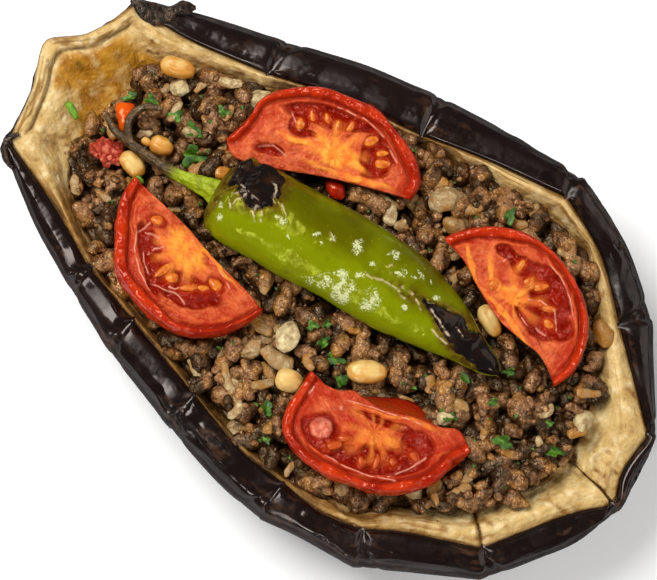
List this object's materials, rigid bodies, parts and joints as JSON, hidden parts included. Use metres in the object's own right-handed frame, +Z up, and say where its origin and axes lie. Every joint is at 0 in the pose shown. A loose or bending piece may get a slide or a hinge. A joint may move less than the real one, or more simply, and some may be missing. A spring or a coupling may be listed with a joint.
{
  "type": "stuffed eggplant",
  "caption": "Roast eggplant opened into a boat, filled with minced meat and topped with tomato wedges, a grilled green pepper, pine nuts, diced red pepper and herbs.",
  "frame": {"origin": "under the middle of the whole dish, on the plane it rests on", "axes": "+X along the eggplant from its stem end to its blossom end, +Z up out of the filling, +Y across"},
  "size_m": [0.1852, 0.1177, 0.052],
  "materials": {
    "eggplant_skin": "wrinkled roast skin, near black, oily sheen",
    "eggplant_flesh": "soft roast flesh, cream to golden brown, moist",
    "minced_meat": "browned mince in lumps, oily in places",
    "tomato": "roast tomato, wet red cut face over orange core",
    "green_pepper": "grilled olive green skin, blistered, glossy, charred in places",
    "pine_nut": "toasted, smooth, oiled",
    "red_pepper": "cooked diced pepper and tomato, moist",
    "onion": "cooked translucent pieces",
    "parsley": "chopped fresh leaf"
  },
  "bodies": {
    "root": {"eggplant_shell": "eggplant_skin", "meat_filling": "minced_meat", "tomato_wedge_1": "tomato", "tomato_wedge_2": "tomato", "tomato_wedge_3": "tomato", "tomato_wedge_4": "tomato", "green_pepper": "green_pepper", "pine_nut_1": "pine_nut", "pine_nut_2": "pine_nut", "pine_nut_3": "pine_nut", "pine_nut_4": "pine_nut", "pine_nut_5": "pine_nut", "pine_nut_6": "pine_nut", "red_dice_1": "red_pepper", "red_dice_2": "red_pepper", "red_dice_3": "red_pepper"}
  },
  "joints": []
}
